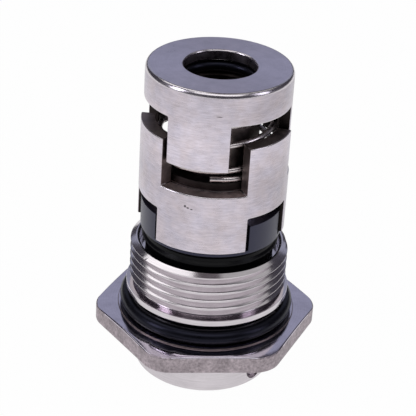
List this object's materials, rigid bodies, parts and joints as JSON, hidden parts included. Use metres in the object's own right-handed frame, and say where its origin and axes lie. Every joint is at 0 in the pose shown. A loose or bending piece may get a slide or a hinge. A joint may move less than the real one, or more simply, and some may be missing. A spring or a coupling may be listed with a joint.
{
  "type": "cartridge mechanical shaft seal",
  "caption": "Cartridge mechanical shaft seal with hexagonal threaded gland, spring-loaded rotating face ring, slotted drive rings and a shaft sleeve that clamps with set screws.",
  "frame": {"origin": "centre of the free face of the clamping collar, on the shaft axis", "axes": "+Z along the shaft axis from the clamping collar to the drive ring; -Y is the side whose drive tongue sits slightly left of the middle"},
  "size_m": [0.051, 0.048, 0.0746],
  "materials": {
    "sleeve_steel": "turned and polished",
    "gland_steel": "investment cast with turned thread",
    "ring_steel": "fine turned",
    "washer_steel": "satin",
    "spring_steel": "drawn wire",
    "screw_steel": "satin",
    "hard_face": "satin",
    "carbon_face": "lapped",
    "elastomer": "satin moulded"
  },
  "bodies": {
    "holder": {"gland_body": "gland_steel", "gland_o_ring": "elastomer", "stationary_seat": "carbon_face", "seat_o_ring": "elastomer"},
    "sleeve": {"shaft_sleeve": "sleeve_steel", "drive_ring": "ring_steel", "shaft_o_ring": "elastomer", "spring": "spring_steel"},
    "thrust": {"thrust_washer": "washer_steel"},
    "driver": {"torque_ring": "ring_steel", "rotating_seal_ring": "hard_face", "seal_o_ring": "elastomer"},
    "screw_1": {"set_screw_1": "screw_steel"},
    "screw_2": {"set_screw_2": "screw_steel"},
    "screw_3": {"set_screw_3": "screw_steel"}
  },
  "joints": [
    {"name": "shaft_spin", "type": "hinge", "parent": "holder", "child": "sleeve", "pos_m": [0, 0, 0.037], "axis": [0, 0, 1], "continuous": true},
    {"name": "spring_slide", "type": "slide", "parent": "sleeve", "child": "thrust", "axis": [0, 0, 1], "range_m": [0, 0.005], "stiffness_N_per_m": 5000, "springref_m": -0.004, "deforming": ["spring"]},
    {"name": "driver_twist", "type": "hinge", "parent": "thrust", "child": "driver", "pos_m": [0, 0, 0.05], "axis": [0, 0, 1], "range_deg": [-15, 2.2]},
    {"name": "screw_1_advance", "type": "slide", "parent": "sleeve", "child": "screw_1", "axis": [-0.766, 0.6428, 0], "range_m": [0, 0.0006]},
    {"name": "screw_2_advance", "type": "slide", "parent": "sleeve", "child": "screw_2", "axis": [-0.1736, -0.9848, 0], "range_m": [0, 0.0006]},
    {"name": "screw_3_advance", "type": "slide", "parent": "sleeve", "child": "screw_3", "axis": [0.9397, 0.342, 0], "range_m": [0, 0.0006]}
  ]
}
